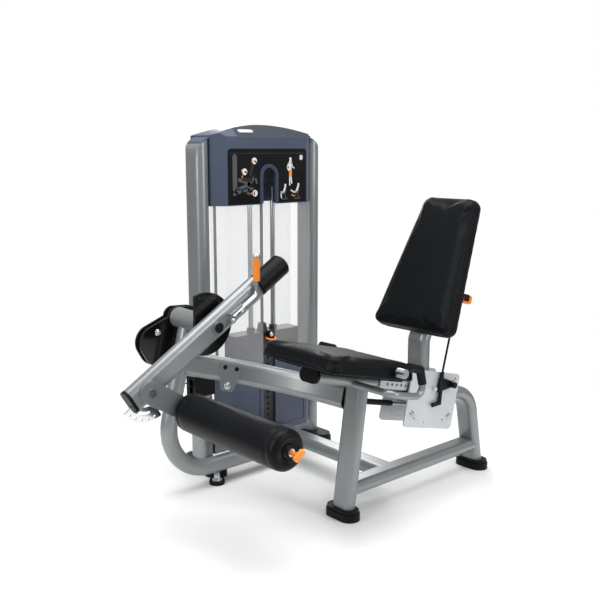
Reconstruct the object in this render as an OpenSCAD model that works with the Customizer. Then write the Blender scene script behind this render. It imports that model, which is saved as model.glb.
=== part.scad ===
// Leg extension machine with its own weight tower.
// X runs from the user's shins to the backrest, Y from the seat to the weight tower, Z up.
// The origin is on the floor, under the front leg of the seat frame.

/* [Tube stock] */
// Short side of the flat oval frame tube
tube_t = 50; // [48:1:52]
// Long side of the flat oval frame tube
tube_w = 92; // [90:1:94]
// Wall of every steel tube
wall = 3; // [2:0.5:4]
// Diameter of the round J tube
j_d = 64; // [62:1:66]

/* [Seat frame] */
// Angle of the seat rail and seat beam, front end high
seat_tilt = 14; // [13.5:0.5:14.5]
// Height of the beam centre at the front leg
beam_z = 426.5; // [424:0.5:429]
// Rearward lean of the front leg
leg_lean = 8; // [7.5:0.5:8.5]
// Height of the centre of the base tubes
base_z = 104; // [102:1:108]

/* [Pads] */
// Width of the seat pad
seat_w = 390; // [380:1:400]
// Length of the seat pad
seat_l = 436; // [426:1:440]
// Thickness of the seat pad
seat_h = 62; // [56:1:66]
// Length of the back pad
back_l = 550; // [530:1:560]
// Width of the back pad at its foot
back_w0 = 400; // [380:1:410]
// Width of the back pad at its top
back_w1 = 262; // [250:1:280]
// Thickness of the back pad
back_h = 62; // [56:1:66]
// Lean of the back pad from upright
back_lean = 25; // [24:0.5:26]
// Diameter of the shin roller
roller_d = 136; // [130:1:140]
// Length of the shin roller
roller_l = 540; // [530:1:545]

/* [Exercise arm] */
// Arm pivot, measured from the origin along X
pivot_x = -285; // [-287:1:-283]
// Arm pivot height
pivot_z = 680; // [678:1:682]
// Distance of the arm's mid plane from the seat centre
arm_y = 380; // [379:1:381]
// Slope of the arm above level in the resting position
arm_slope = 31.5; // [31:0.5:32]

/* [Weight tower] */
// Centre of the tower along X
tower_x = 184; // [182:1:186]
// Centre of the side columns along Y
tower_y = 717; // [715:1:719]
// Distance of each column centre from the tower centre
column_off = 291; // [289:1:293]
// Height of the top of the cap
tower_h = 1400; // [1395:1:1405]
// Number of plates in the weight stack
plate_n = 16; // [14:1:16]
// Thickness of one weight plate
plate_t = 25; // [24:0.5:25]

/* [Hidden] */

steel = [0.56, 0.58, 0.59];
slate = [0.27, 0.31, 0.40];
dark = [0.07, 0.07, 0.08];
accent = [0.94, 0.51, 0.08];
chrome = [0.80, 0.82, 0.84];

// Seat frame. Its tilted frame starts at the near end of the beam: U along the rail, W square to it.
beam_x = 56;
beam_r = 584;
beam_sweep = 70;
rail_w = 71;
rail_front = -236;
rail_rear = 530;
pan_w = rail_w + tube_t / 2;
seat_front = -333;
bar_u0 = 60;
bar_u1 = 506;
hole_u0 = 100;
hole_step = 25;
grip_d = 25;
grip_u = -62;
grip_w = 60;
grip_y = 215;
grip_bend = 32;
grip_run = 88;
sleeve_d = 30;
sleeve_l = 52;
button_u = -25;
button_w = pan_w + 38;
leg_foot_z = 14;
base_w = tube_w - 4;

// Rear leg, in the tilted frame
leg_r = 120;
leg_bend = 65;
leg_u = rail_rear + 35;
leg_w = 60;
leg_end_u = leg_u + leg_r * sin(leg_bend);
leg_end_w = leg_w - leg_r + leg_r * cos(leg_bend);
leg_end_x = beam_x + leg_end_u * cos(seat_tilt) + leg_end_w * sin(seat_tilt);
leg_end_z = beam_z - leg_end_u * sin(seat_tilt) + leg_end_w * cos(seat_tilt);
leg_steep = seat_tilt + leg_bend;
rear_foot_x = leg_end_x + (leg_end_z - leg_foot_z) / tan(leg_steep);

// J tube, parallel to W where it rises
j_y = 549;
j_r = 180;
j_x = -195;
j_z = 262;

// Arm bearing
house_d = 76;
house_y0 = 452;
house_y1 = 602;
shaft_d = 30;
plate_y = 424;
plate_r = 116;
hole_r = 100;
cam_y = 610;
cam_t = 40;

// Arm, measured from the pivot along its slope (S) and square to it (N)
arm_lo = -400;
arm_hi = 235;
arm_top = 380;
boss_s = -337;
boss_n = -10;
near_y = arm_y - tube_t / 2;

// Shin link and roller
boss_x = pivot_x + boss_s * cos(arm_slope) - boss_n * sin(arm_slope);
boss_z = pivot_z + boss_s * sin(arm_slope) + boss_n * cos(arm_slope);
roller_x = -430;
roller_z = 406;
link_len = norm([roller_x - boss_x, roller_z - boss_z]);
link_slope = atan2(roller_z - boss_z, roller_x - boss_x);
link_t = 12;
link_y = near_y - link_t - 0.4;
roller_y1 = link_y - 8;
roller_y0 = roller_y1 - roller_l;

// Weight tower
col_t = 60;
col_w = 105;
col_z0 = 30;
col_z1 = 1268;
flat_half = 210;
facet_half = 262;
front_y = 633;
facet_y = 672;
rear_y = 800;
cap_z = 1083;
panel_z = 420;
sill_z = 108;
slot_half = 33;
arch_r = 800;
shoulder_r = 88;
shoulder_x = column_off + col_t / 2 - shoulder_r;
shoulder_z = 1240;
ear_half = 300;
stack_y = 681;
stack_z = 150;
stack_w = 340;
stack_d = 74;
rod_off = 60;
rod_d = 20;
stack_top = stack_z + plate_n * plate_t;
pulley_r = 42;
pulley_z = 1200;
rise_x = tower_x - 236;
belt_w = 16;
belt_t = 3;
belt_gap = 0.3;
axle_d = 16;
right_x = tower_x - pulley_r - belt_t / 2 - belt_gap;
left_x = rise_x + pulley_r + belt_t / 2 + belt_gap;

// Belt from the cam's groove to the lower pulley: it leaves the lobe and dips toward the tower
belt_y = cam_y + cam_t / 2;
belt_dip = 35.2;
lobe_x = -82;
lobe_z = -114;
lobe_r = 64;
groove = 9;
low_r = 26;
low_run = 262;
belt_reach = lobe_r - groove + belt_gap + belt_t / 2;
cam_belt_x = pivot_x + lobe_x - belt_reach * sin(belt_dip);
cam_belt_z = pivot_z + lobe_z - belt_reach * cos(belt_dip);
low_belt_x = cam_belt_x + low_run * cos(belt_dip);
low_belt_z = cam_belt_z - low_run * sin(belt_dip);
low_x = low_belt_x + (low_r + belt_gap + belt_t / 2) * sin(belt_dip);
low_z = low_belt_z + (low_r + belt_gap + belt_t / 2) * cos(belt_dip);

// Backrest carriage, in the tilted frame
side_y = 56;
side_t = 6;
side_u0 = 216;
side_u1 = 503;
side_w0 = -82;
side_w1 = 136;
strut_w = -5;
strut_end = 195;
strut_bar = 306;
wheel_d = 30;
post_u = 318;
hub_u = 438;
hub_w = 95;
pin_u = hole_u0 + 10 * hole_step;
post_x = 397;
post_r = 26;
post_bend_z = 588.5;
pad_gap = 8;
pad_foot = 4;

// ---- shared outlines and placements ----

// Flat oval, short side t along X and long side w along Y
module oval(t, w) {
  square([t, w - t], center = true);
  for (s = [-1, 1]) translate([0, s * (w - t) / 2]) circle(d = t, $fn = 48);
}

// The same oval as a tube section
module oval_ring(t, w) {
  difference() {
    oval(t, w);
    oval(t - 2 * wall, w - 2 * wall);
  }
}

// Rounded rectangle with true corner arcs
module round_rect(w, h, r) {
  square([w - 2 * r, h], center = true);
  square([w, h - 2 * r], center = true);
  for (x = [-1, 1], y = [-1, 1]) translate([x * (w / 2 - r), y * (h / 2 - r)]) circle(r = r, $fn = 40);
}

// The tilted frame of the seat
module tilted() {
  translate([beam_x, 0, beam_z]) rotate([0, seat_tilt, 0]) children();
}

// The arm's frame: X along the arm, Z square to it, Y as in the machine
module on_arm() {
  translate([pivot_x, 0, pivot_z]) rotate([0, -arm_slope, 0]) children();
}

// The link's frame: X from the link pin to the roller axle
module on_link() {
  translate([boss_x, 0, boss_z]) rotate([0, -link_slope, 0]) children();
}

// Stands an outline up in the XZ plane and thickens it from y toward +Y
module slab_y(y, t) {
  translate([0, y + t, 0]) rotate([90, 0, 0]) linear_extrude(t) children();
}

// Cylinder along Y from y0 to y1
module rod_y(x, z, y0, y1, d) {
  translate([x, y0, z]) rotate([-90, 0, 0]) cylinder(d = d, h = y1 - y0, $fn = 64);
}

// Extrudes an outline along X; its X side stands up and its Y side lies flat
module along_x(x, l) {
  translate([x, 0, 0]) rotate([0, 90, 0]) linear_extrude(l) children();
}

// ---- seat frame ----

module front_leg_form() {
  rotate([0, leg_lean, 0]) translate([0, 0, leg_foot_z]) linear_extrude(480) children();
}

module front_leg() {
  color(steel) difference() {
    front_leg_form() oval_ring(tube_t, tube_w);
    tilted() translate([-200, -100, pan_w - tube_t]) cube([400, 200, 200]);
  }
}

module foot_block() {
  linear_extrude(26) oval(78, 142);
  translate([0, 0, 26]) linear_extrude(12) oval(70, 134);
}

// The rear leg follows the rail, bends down and runs to the rear foot
module rear_leg_form(t, w) {
  tilted() {
    translate([0, 0, leg_w]) along_x(rail_rear, 35) oval(t, w);
    translate([leg_u, 0, leg_w - leg_r]) rotate([90, 0, 0]) rotate([0, 0, 90 - leg_bend])
      rotate_extrude(angle = leg_bend, $fn = 180) translate([leg_r, 0]) oval(t, w);
  }
  rear_leg_shank(t, w);
}

module rear_leg_shank(t, w) {
  tilted() translate([leg_u, 0, leg_w - leg_r]) rotate([0, leg_bend, 0]) translate([0, 0, leg_r])
    along_x(0, (leg_end_z - leg_foot_z) / sin(leg_steep)) oval(t, w);
}

module rear_leg() {
  color(steel) difference() {
    rear_leg_form(tube_t, tube_w);
    rear_leg_form(tube_t - 2 * wall, tube_w - 2 * wall);
  }
}

// Moulded rubber feet of the two legs and the two columns, and the levelling foot of the J tube
module rubber_feet() {
  color(dark) {
    translate([-158, j_y, 0]) {
      cylinder(d = 62, h = 14, $fn = 64);
      translate([0, 0, 14]) cylinder(d = 18, h = j_z - j_r - j_d / 2 - 14, $fn = 48);
    }
    difference() {
      foot_block();
      front_leg_form() oval(tube_t, tube_w);
    }
    difference() {
      translate([rear_foot_x, 0, 0]) foot_block();
      rear_leg_form(tube_t, tube_w);
    }
    for (s = [-1, 1]) translate([tower_x + s * column_off, tower_y - 20, 0]) difference() {
      union() {
        linear_extrude(34) oval(84, 236);
        translate([0, 0, 34]) linear_extrude(14) oval(76, 226);
      }
      translate([0, 20, col_z0]) linear_extrude(60) oval(col_t, col_w);
    }
  }
}

module base_rail() {
  color(steel) difference() {
    translate([0, 0, base_z]) along_x(0, rear_foot_x) oval_ring(tube_t, base_w);
    front_leg_form() oval(tube_t, tube_w);
    rotate([0, leg_lean, 0]) translate([-100, -100, 0]) cube([100, 200, 300]);
    rear_leg_shank(tube_t, tube_w);
    translate([rear_foot_x - 25, -100, 0]) cube([100, 200, 300]);
  }
}

module cross_tube() {
  color(steel) difference() {
    translate([245, 0, base_z]) rotate([-90, 0, 0]) linear_extrude(tower_y - col_w / 2)
      rotate(90) oval_ring(tube_t, tube_w);
    translate([0, 0, base_z]) along_x(0, 500) oval(tube_t, base_w);
    translate([0, -200, 0]) cube([500, 200, 300]);
  }
}

module beam_form(t, w) {
  tilted() translate([-beam_r, 0, 0]) rotate_extrude(angle = beam_sweep, $fn = 240)
    translate([beam_r, 0]) oval(t, w);
}

module main_beam() {
  color(steel) difference() {
    beam_form(tube_t, tube_w);
    beam_form(tube_t - 2 * wall, tube_w - 2 * wall);
    front_leg_form() oval(tube_t, tube_w);
    j_form(j_d);
    translate([-20, -10, 300]) cube([180, 50, 240]);
  }
}

module seat_rail() {
  color(steel) tilted() translate([0, 0, rail_w]) along_x(rail_front, rail_rear - rail_front)
    oval_ring(tube_t, tube_w);
}

module rail_cap() {
  color(dark) tilted() translate([0, 0, rail_w]) {
    along_x(rail_front - 12, 12) oval(tube_t, tube_w);
    along_x(rail_front, 20) oval(tube_t - 2 * wall, tube_w - 2 * wall);
  }
}

// Bars beside the rail with the row of holes that the lock pin drops into
module index_bars() {
  color(chrome) tilted() for (s = [-1, 1]) difference() {
    translate([bar_u0, s > 0 ? tube_w / 2 : -tube_w / 2 - 5, rail_w - 17]) cube([bar_u1 - bar_u0, 5, 34]);
    for (i = [0 : 14]) rod_y(hole_u0 + hole_step * i, rail_w, -80, 80, 11);
  }
}

// Board under the seat pad
module seat_pan() {
  color(dark) tilted() translate([seat_front + 45, -150, pan_w]) cube([seat_l - 90, 300, 8]);
}

module seat_pad() {
  color([0.05, 0.05, 0.06]) tilted() translate([seat_front + seat_l / 2, 0, pan_w + 8]) hull() {
    linear_extrude(seat_h - 16) round_rect(seat_l, seat_w, 46);
    linear_extrude(seat_h) round_rect(seat_l - 30, seat_w - 30, 36);
  }
}

// Steel tube of each hand grip: out from the rail under the seat, back along its side, then up
module grip_tubes() {
  color(steel) tilted() for (s = [0, 1]) mirror([0, s, 0]) {
    translate([grip_u, -grip_y + grip_bend, grip_w]) rotate([90, 0, 0])
      translate([0, 0, -grip_y + grip_bend + tube_w / 2 + 0.2])
        cylinder(d = grip_d, h = grip_y - grip_bend - tube_w / 2 - 0.2, $fn = 48);
    translate([grip_u + grip_bend, -grip_y + grip_bend, grip_w]) rotate([0, 0, 180])
      rotate_extrude(angle = 90, $fn = 96) translate([grip_bend, 0]) circle(d = grip_d, $fn = 48);
    translate([grip_u + grip_bend, -grip_y, grip_w]) rotate([0, 90, 0])
      cylinder(d = grip_d, h = grip_run, $fn = 48);
    translate([grip_u + grip_bend + grip_run, -grip_y, grip_w + grip_bend]) rotate([90, 0, 0])
      rotate([0, 0, -90]) rotate_extrude(angle = 118, $fn = 96)
        translate([grip_bend, 0]) circle(d = grip_d, $fn = 48);
  }
}

// Rubber sleeve of each hand grip, bent forward at the top to the boss on the seat's side
module hand_grips() {
  color(dark) tilted() for (s = [0, 1]) mirror([0, s, 0])
    translate([grip_u + grip_bend + grip_run, -grip_y, grip_w + grip_bend]) rotate([0, -28, 0])
      translate([grip_bend, 0, 0]) {
        cylinder(d = sleeve_d, h = sleeve_l, $fn = 48);
        translate([0, 0, sleeve_l]) sphere(d = sleeve_d + 1, $fn = 48);
        translate([0, 0, sleeve_l]) rotate([0, -58, 0]) cylinder(d = sleeve_d, h = 66, $fn = 48);
      }
}

// Chrome cap of the boss where each hand grip meets the seat
module seat_buttons() {
  color(chrome) tilted() for (s = [0, 1]) mirror([0, s, 0]) {
    rod_y(button_u, button_w, -seat_w / 2 - 32, -seat_w / 2 - 0.5, 34);
    rod_y(button_u, button_w, -seat_w / 2 - 36, -seat_w / 2 - 32, 26);
  }
}

// Plate on the front of the beam, with two bolt holes and the rubber arm stop
module stop_bracket() {
  color(steel) tilted() translate([-beam_r, 0, 0]) rotate([0, 0, 47])
    translate([beam_r - tube_t / 2 - 7.7, 0, 0]) rotate([0, 90, 0]) linear_extrude(6) difference() {
      polygon([[-30, -40], [-30, 40], [30, 34], [76, 26], [76, -22], [30, -34]]);
      for (y = [-26, 22]) translate([-14, y]) circle(d = 13, $fn = 32);
      translate([58, 2]) circle(d = 15, $fn = 32);
    }
}

// ---- J tube and arm bearing ----

module j_form(d) {
  translate([j_x, j_y, j_z]) rotate([90, 0, 0]) rotate([0, 0, 180 - seat_tilt])
    rotate_extrude(angle = 90 + seat_tilt, $fn = 180) translate([j_r, 0]) circle(d = d, $fn = 64);
  translate([j_x, j_y, j_z - j_r]) rotate([0, 90, 0]) cylinder(d = d, h = 430, $fn = 64);
  translate([j_x, j_y, j_z]) rotate([0, seat_tilt, 0]) translate([-j_r, 0, 0])
    cylinder(d = d, h = 358, $fn = 64);
}

module j_tube() {
  color(steel) difference() {
    j_form(j_d);
    j_form(j_d - 2 * wall);
    rod_y(pivot_x, pivot_z, 400, 700, house_d);
    translate([245, 400, base_z]) rotate([-90, 0, 0]) linear_extrude(300) rotate(90) oval(tube_t, tube_w);
    translate([245, 400, 0]) cube([200, 300, 200]);
    translate([198, 400, 0]) cube([200, 300, base_z]);
  }
}

module bearing_housing() {
  color(steel) difference() {
    rod_y(pivot_x, pivot_z, house_y0, house_y1, house_d);
    rod_y(pivot_x, pivot_z, house_y0 - 1, house_y1 + 1, 52);
  }
}

module pivot_bearings() {
  color(chrome) for (y = [house_y0 + 2, house_y1 - 18]) difference() {
    rod_y(pivot_x, pivot_z, y, y + 16, 52);
    rod_y(pivot_x, pivot_z, y - 1, y + 17, shaft_d + 0.1);
  }
}

module pivot_shaft() {
  color(chrome) {
    rod_y(pivot_x, pivot_z, near_y - 4.5, cam_y + cam_t + 6, shaft_d);
    rod_y(pivot_x, pivot_z, near_y - 13, near_y - 4.5, 40);
  }
}

// Outline of the plate cam, seen from the seat: a lobe at the nose and a heel over the housing
module cam_outline(inset) {
  hull() {
    circle(r = 38 - inset, $fn = 64);
    translate([60, -22]) circle(r = 56 - inset, $fn = 64);
  }
  hull() {
    translate([-10, -42]) circle(r = 54 - inset, $fn = 64);
    translate([-98, -86]) circle(r = lobe_r - inset, $fn = 72);
    translate([lobe_x, lobe_z]) circle(r = lobe_r - inset, $fn = 72);
  }
}

// Cam with a groove for the belt round its edge
module cam() {
  color(dark) translate([pivot_x, 0, pivot_z]) difference() {
    union() {
      slab_y(cam_y, 8) cam_outline(0);
      slab_y(cam_y + 8, cam_t - 16) cam_outline(groove);
      slab_y(cam_y + cam_t - 8, 8) cam_outline(0);
    }
    rod_y(0, 0, cam_y - 1, cam_y + cam_t + 1, shaft_d);
  }
}

// Disc on the shaft with the ring of start holes, cut off straight at the front
module range_plate() {
  color(dark) translate([pivot_x, 0, pivot_z]) difference() {
    rod_y(0, 0, plate_y, plate_y + 12, 2 * plate_r);
    translate([-150, plate_y - 1, -150]) cube([104, 14, 300]);
    rod_y(0, 0, plate_y - 1, plate_y + 13, shaft_d);
    for (i = [-4 : 9]) rotate([0, -arm_slope - 8 * i, 0])
      rod_y(hole_r, 0, plate_y - 1, plate_y + 13, 9.4);
  }
}

// ---- arm ----

module arm_tube() {
  color(steel) on_arm() difference() {
    union() {
      translate([0, arm_y, 0]) along_x(arm_lo, arm_hi - arm_lo) rotate(90) oval_ring(tube_t, tube_w);
      rod_y(0, 0, near_y - 4, near_y + tube_t + 10, 46);
    }
    rod_y(0, 0, near_y - 10, near_y + tube_t + 20, shaft_d + 0.1);
    rod_y(hole_r, 0, near_y - 10, near_y + tube_t + 20, 9.2);
    rod_y(boss_s, boss_n, near_y - 10, near_y + tube_t + 20, 20);
  }
}

module arm_end_cap() {
  color(dark) on_arm() translate([0, arm_y, 0]) {
    along_x(arm_lo - 12, 12) rotate(90) oval(tube_t + 2, tube_w + 2);
    along_x(arm_lo, 18) rotate(90) oval(tube_t - 2 * wall, tube_w - 2 * wall);
  }
}

module counterweight() {
  color(dark) on_arm() translate([arm_hi, arm_y, 0]) rotate([0, 90, 0]) {
    cylinder(d = 84, h = arm_top - arm_hi - 8, $fn = 72);
    translate([0, 0, arm_top - arm_hi - 8]) cylinder(d1 = 84, d2 = 68, h = 8, $fn = 72);
  }
}

// Lug on the near face of the arm that the range lever turns in
module lever_bracket() {
  color(chrome) on_arm() difference() {
    translate([62, near_y - 26, -14]) cube([60, 26, 28]);
    translate([58, near_y - 27, -8.5]) cube([68, 19, 17]);
    rod_y(hole_r, 0, near_y - 10, near_y + 1, 9.2);
    translate([74, near_y - 17, -20]) cylinder(d = 6, h = 40, $fn = 32);
  }
}

// Bent lever: its short end draws the pin, its long end carries the grip
module range_lever() {
  color(chrome) on_arm() translate([0, near_y - 17, 0]) {
    translate([74, 0, -16]) cylinder(d = 5.9, h = 32, $fn = 32);
    translate([68, 0, 0]) rotate([0, 90, 0]) cylinder(d = 14, h = 112, $fn = 48);
    translate([180, 0, 28]) rotate([90, 0, 0]) rotate([0, 0, -90]) rotate_extrude(angle = 58, $fn = 96)
      translate([28, 0]) circle(d = 14, $fn = 48);
    translate([180, 0, 28]) rotate([0, -58, 0]) translate([0, 0, -28]) rotate([0, 90, 0])
      cylinder(d = 14, h = 34, $fn = 48);
  }
}

module lever_grip() {
  color(accent) on_arm() translate([180, near_y - 17, 28]) rotate([0, -58, 0])
    translate([34, 0, -28]) rotate([0, 90, 0]) cylinder(d = 26, h = 84, $fn = 48);
}

module range_pin() {
  color(chrome) on_arm() {
    rod_y(hole_r, 0, near_y - 9, plate_y - 0.5, 9);
  }
}

// Slotted quadrant under the foot of the arm, for setting the link
module adjuster_sector() {
  color(chrome) translate([boss_x, 0, boss_z]) difference() {
    rod_y(0, 0, arm_y - 3, arm_y + 3, 224);
    rod_y(0, 0, arm_y - 4, arm_y + 4, 164);
    rotate([0, -arm_slope, 0]) translate([-150, arm_y - 5, -tube_w / 2 - boss_n]) cube([300, 10, 300]);
    rotate([0, -arm_slope, 0]) translate([-150, arm_y - 5, -tube_w / 2 - boss_n - 1.5])
      cube([150.5 + arm_lo - boss_s, 10, 300]);
    rotate([0, 30, 0]) translate([0, arm_y - 5, -150]) cube([200, 10, 300]);
    for (i = [0 : 4]) rotate([0, 128 - 17 * i, 0]) rod_y(97, 0, arm_y - 4, arm_y + 4, 11);
  }
}

module link_pin() {
  color(chrome) on_arm() {
    rod_y(boss_s, boss_n, link_y - 2, near_y + tube_t + 4, 20);
    rod_y(boss_s, boss_n, link_y - 7, link_y - 2, 30);
  }
}

// Flat link between the arm and the roller axle
module shin_link() {
  color(steel) on_link() difference() {
    union() {
      slab_y(link_y, link_t) hull() {
        circle(r = 41, $fn = 72);
        translate([link_len, 0]) circle(r = 38, $fn = 72);
      }
      rod_y(0, 0, link_y - 1.6, link_y + 1, 64);
    }
    rod_y(0, 0, link_y - 10, link_y + link_t + 10, 20.1);
    rod_y(link_len, 0, link_y - 1, link_y + link_t + 1, 25);
  }
}

module roller_axle() {
  color(chrome) difference() {
    rod_y(roller_x, roller_z, roller_y0 - 10, link_y + link_t, 25);
    rod_y(roller_x, roller_z, roller_y0 - 11, roller_y0 + 70, 10.1);
  }
}

module roller_pad() {
  color([0.05, 0.05, 0.06]) difference() {
    union() {
      rod_y(roller_x, roller_z, roller_y0 + 12, roller_y1 - 12, roller_d);
      translate([roller_x, roller_y0, roller_z]) rotate([-90, 0, 0])
        cylinder(d1 = roller_d - 22, d2 = roller_d, h = 12, $fn = 96);
      translate([roller_x, roller_y1 - 12, roller_z]) rotate([-90, 0, 0])
        cylinder(d1 = roller_d, d2 = roller_d - 22, h = 12, $fn = 96);
    }
    rod_y(roller_x, roller_z, roller_y0 - 1, roller_y1 + 1, 46);
  }
}

// Core tube of the roller with a bush at each end
module roller_core() {
  color(dark) difference() {
    rod_y(roller_x, roller_z, roller_y0 + 4, roller_y1 - 4, 46);
    rod_y(roller_x, roller_z, roller_y0, roller_y1, 25.2);
  }
}

module shin_knob() {
  color(accent) {
    rod_y(roller_x, roller_z, roller_y0 - 34, roller_y0 - 10, 16);
    rod_y(roller_x, roller_z, roller_y0 - 10, roller_y0 + 50, 10);
    translate([roller_x, roller_y0 - 42, roller_z]) rotate([0, -35, 0])
      translate([-26, 0, 0]) rotate([0, 90, 0]) cylinder(d = 17, h = 52, $fn = 48);
  }
}

// ---- weight tower ----

module tower_frame() {
  color(steel) {
    for (s = [-1, 1]) translate([tower_x + s * column_off, tower_y, col_z0])
      linear_extrude(col_z1 - col_z0) oval_ring(col_t, col_w);
    for (y = [tower_y - 46, tower_y + 12])
      translate([tower_x - column_off + col_t / 2, y, 66]) cube([2 * column_off - col_t, 34, 42]);
  }
}

// The tower's arched top, seen from the seat
module arch_outline(half, inset) {
  intersection() {
    translate([0, tower_h - arch_r]) circle(r = arch_r - inset, $fn = 360);
    translate([-half, 900]) square([2 * half, 600]);
  }
}

// Rounded shoulder of a column cap, on both sides
module shoulders(grow) {
  for (s = [-1, 1]) mirror([s > 0 ? 0 : 1, 0]) {
    translate([shoulder_x, shoulder_z]) circle(r = shoulder_r + grow, $fn = 120);
    translate([shoulder_x - 60, 1000]) square([shoulder_r + grow + 60, shoulder_z - 1000]);
  }
}

module column_caps() {
  color(steel) for (s = [-1, 1]) intersection() {
    translate([tower_x + s * column_off, tower_y, col_z1]) linear_extrude(140) oval(col_t, col_w);
    translate([tower_x, 0, 0]) slab_y(600, 300) shoulders(0);
  }
}

// Plan of the tower cover: flat front with a slanted facet on each side
module cover_plan(inset) {
  translate([tower_x, 0]) polygon([
    [-flat_half + inset / 2, front_y + inset], [flat_half - inset / 2, front_y + inset],
    [facet_half - 1 - inset, facet_y], [facet_half - 1 - inset, rear_y - inset],
    [-facet_half + 1 + inset, rear_y - inset], [-facet_half + 1 + inset, facet_y]
  ]);
}

// Slot for the selector pin, with a round top
module slot_outline(half, top) {
  translate([-half, -100]) square([2 * half, top - half + 100]);
  translate([0, top - half]) circle(r = half, $fn = 64);
}

// Slanted front, ridge and back of the cap, seen from the side
module cap_side(inset) {
  translate([tower_x - 400, 0, 0]) rotate([90, 0, 90]) linear_extrude(800) polygon([
    [front_y + inset, 1000], [front_y + inset, 1352 - inset / 2], [tower_y - 25, tower_h + 2 - inset],
    [tower_y + 25, tower_h + 2 - inset], [rear_y - inset, 1352 - inset / 2], [rear_y - inset, 1000]
  ]);
}

module cap_form(inset) {
  intersection() {
    translate([tower_x, 0, 0]) slab_y(500, 400) arch_outline(facet_half + 5, inset);
    translate([0, 0, cap_z - (inset > 0 ? 1 : 0)]) linear_extrude(400) cover_plan(inset);
    cap_side(inset);
  }
}

// The cap's ears fill the corner between the arch and the rounded column caps
module cap_ears() {
  difference() {
    intersection() {
      translate([tower_x, 0, 0]) slab_y(tower_y - 48, 96) arch_outline(ear_half, 0);
      cap_side(0);
    }
    translate([tower_x, 0, 0]) slab_y(500, 400) shoulders(0.5);
    translate([tower_x - facet_half + 2, 500, 800]) cube([2 * facet_half - 4, 400, 700]);
    translate([tower_x - 500, 500, 800]) cube([1000, 400, col_z1 - 780]);
  }
}

module tower_cap() {
  color(slate) {
    difference() {
      cap_form(0);
      cap_form(5);
      translate([tower_x, 0, 0]) slab_y(front_y - 10, 30) slot_outline(slot_half + 6, 1236);
    }
    cap_ears();
  }
}

// Black instruction panel with the raised arched rim of the slot
module placard() {
  color(dark) translate([tower_x, 0, 0]) difference() {
    slab_y(front_y - 3, 3) {
      translate([-203, cap_z + 4]) square([406, 204]);
      translate([-189, cap_z + 4]) square([378, 218]);
      for (s = [-1, 1]) translate([s * 189, cap_z + 208]) circle(r = 14, $fn = 48);
    }
    slab_y(front_y - 10, 30) slot_outline(slot_half + 6, 1236);
  }
  color(slate) translate([tower_x, 0, 0]) for (step = [[front_y - 9, 9, 14], [front_y - 1, 6, 5.8]])
    slab_y(step[0], step[1]) difference() {
      slot_outline(slot_half + step[2], 1230 + step[2]);
      slot_outline(slot_half, 1230);
      translate([-200, -200]) square([400, 200 + cap_z + 4]);
    }
}

module shroud_wall(t) {
  difference() {
    cover_plan(0);
    cover_plan(t);
    translate([tower_x - 400, facet_y]) square([800, 300]);
    translate([tower_x - slot_half, front_y - 50]) square([2 * slot_half, 100]);
  }
}

// Clear covers in front of and behind the stack
module shrouds() {
  color([0.92, 0.93, 0.95, 0.5]) {
    translate([0, 0, panel_z]) linear_extrude(cap_z - panel_z) shroud_wall(4);
    translate([tower_x - facet_half + 2, rear_y - 4, sill_z])
      cube([2 * facet_half - 4, 4, cap_z - sill_z]);
  }
}

module lower_panel() {
  color(slate) difference() {
    translate([0, 0, sill_z]) linear_extrude(panel_z - sill_z) shroud_wall(6);
    for (s = [-1, 1]) translate([tower_x + s * 122 - 72, front_y - 1, sill_z + 26]) cube([144, 4, 240]);
    translate([245, front_y - 10, base_z]) rotate([-90, 0, 0]) linear_extrude(40)
      rotate(90) oval(tube_t + 2, tube_w + 2);
  }
}

module guide_rods() {
  color(chrome) for (s = [-1, 1])
    translate([tower_x + s * rod_off, stack_y, sill_z]) cylinder(d = rod_d, h = 1150 - sill_z, $fn = 48);
}

module plate_form(z, t) {
  difference() {
    translate([tower_x - stack_w / 2, stack_y - stack_d / 2, z]) cube([stack_w, stack_d, t]);
    for (s = [-1, 1])
      translate([tower_x + s * rod_off, stack_y, z - 1]) cylinder(d = rod_d + 2, h = t + 2, $fn = 48);
    translate([tower_x, stack_y, z - 1]) cylinder(d = 32, h = t + 2, $fn = 48);
    rod_y(tower_x, z + t / 2, stack_y - stack_d, stack_y, 11);
  }
}

module weight_plates() {
  color([0.3, 0.3, 0.32]) for (i = [0 : plate_n - 2]) plate_form(stack_z + plate_t * i, plate_t - 0.8);
}

// Top plate with its guide bushes and the hollow selector stem
module top_weight() {
  z = stack_top - plate_t;
  color([0.3, 0.3, 0.32]) difference() {
    union() {
      plate_form(z, plate_t);
      translate([tower_x, stack_y, stack_z + 8]) cylinder(d = 30, h = stack_top + 20 - stack_z - 8, $fn = 64);
      translate([tower_x, stack_y, stack_top - 2]) cylinder(d1 = 46, d2 = 34, h = 34, $fn = 64);
      for (s = [-1, 1]) translate([tower_x + s * rod_off, stack_y, stack_top - 4])
        cylinder(d = 34, h = 22, $fn = 48);
    }
    for (s = [-1, 1])
      translate([tower_x + s * rod_off, stack_y, z - 1]) cylinder(d = rod_d + 0.2, h = 90, $fn = 48);
    translate([tower_x, stack_y, stack_z]) cylinder(d = 22, h = 600, $fn = 64);
    rod_y(tower_x, z + plate_t / 2, stack_y - stack_d, stack_y - 8, 10.2);
  }
}

module selector_pin() {
  y0 = stack_y - stack_d / 2;
  z = stack_top - plate_t / 2;
  color(chrome) rod_y(tower_x, z, y0 - 6, stack_y - 11.5, 10);
  color(accent) rod_y(tower_x, z, y0 - 26, y0 - 6, 36);
}

// Flanged belt pulley whose groove floor has radius r
module pulley(x, y, z, r, bore) {
  color(dark) difference() {
    union() {
      rod_y(x, z, y - 14, y - 9, 2 * r + 10);
      rod_y(x, z, y - 9, y + 9, 2 * r);
      rod_y(x, z, y + 9, y + 14, 2 * r + 10);
    }
    rod_y(x, z, y - 15, y + 15, bore + 0.1);
  }
}

module left_pulley() {
  pulley(left_x, stack_y, pulley_z, pulley_r, axle_d);
}

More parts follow.
